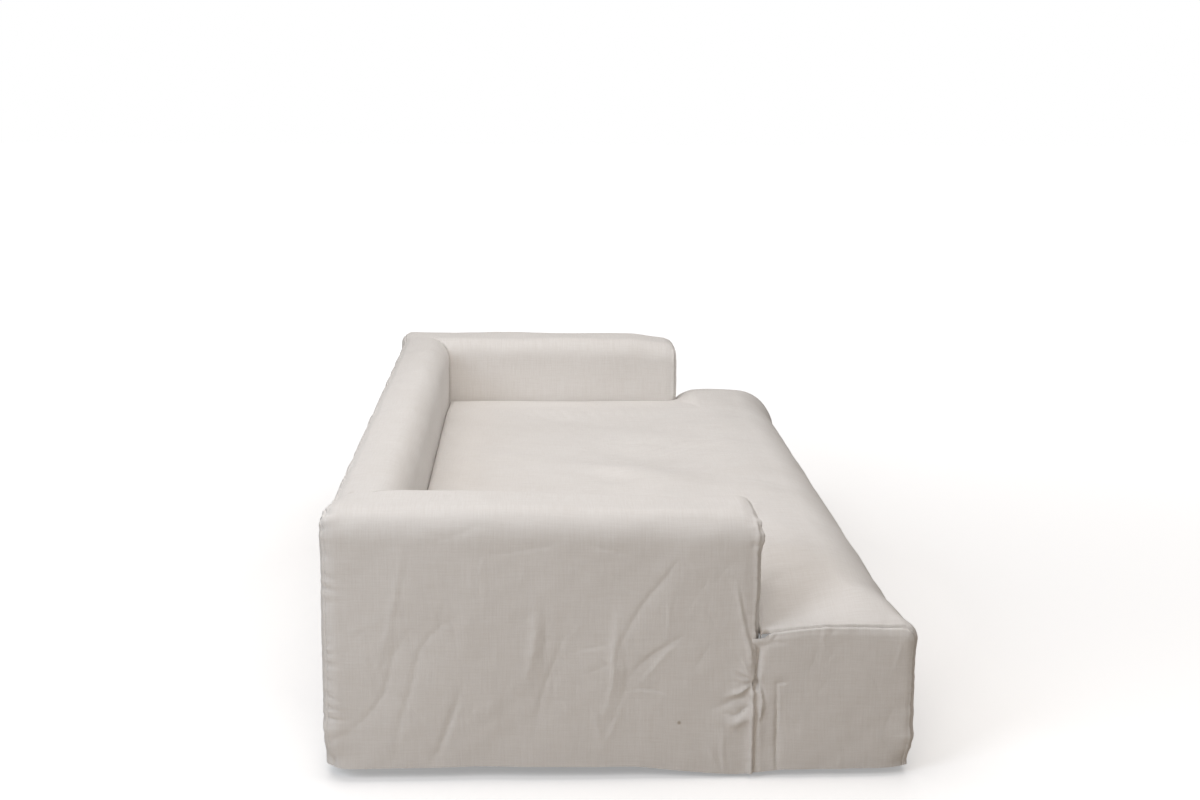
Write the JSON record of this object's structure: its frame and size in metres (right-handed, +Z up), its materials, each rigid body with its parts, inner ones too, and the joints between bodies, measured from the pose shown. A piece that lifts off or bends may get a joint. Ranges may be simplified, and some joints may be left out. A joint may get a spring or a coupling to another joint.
{
  "type": "fitted sofa slipcover",
  "caption": "Hollow fitted slipcover for a deep low-armed sofa: arm wraps with front panels, back panel and wrap, deep seat cover that rolls over its front edge, and seat end panels.",
  "frame": {"origin": "under the middle of the cover, level with the lowest point of its hem", "axes": "+X along the sofa, +Z up; the front of the seat faces -Y"},
  "size_m": [2.8206, 1.456, 0.672],
  "materials": {
    "arm_linen": "off-white slubby linen and cotton, plain weave, matte",
    "panel_linen": "off-white slubby linen and cotton, plain weave, matte",
    "back_linen": "off-white slubby linen and cotton, plain weave, matte",
    "seat_linen": "off-white slubby linen and cotton, plain weave, matte"
  },
  "bodies": {
    "root": {"arm_cover_left": "arm_linen", "arm_cover_right": "arm_linen", "arm_front_left": "panel_linen", "arm_front_right": "panel_linen", "back_cover": "back_linen", "back_panel": "back_linen", "seat_cover": "seat_linen", "seat_side_left": "panel_linen", "seat_side_right": "panel_linen"}
  },
  "joints": []
}
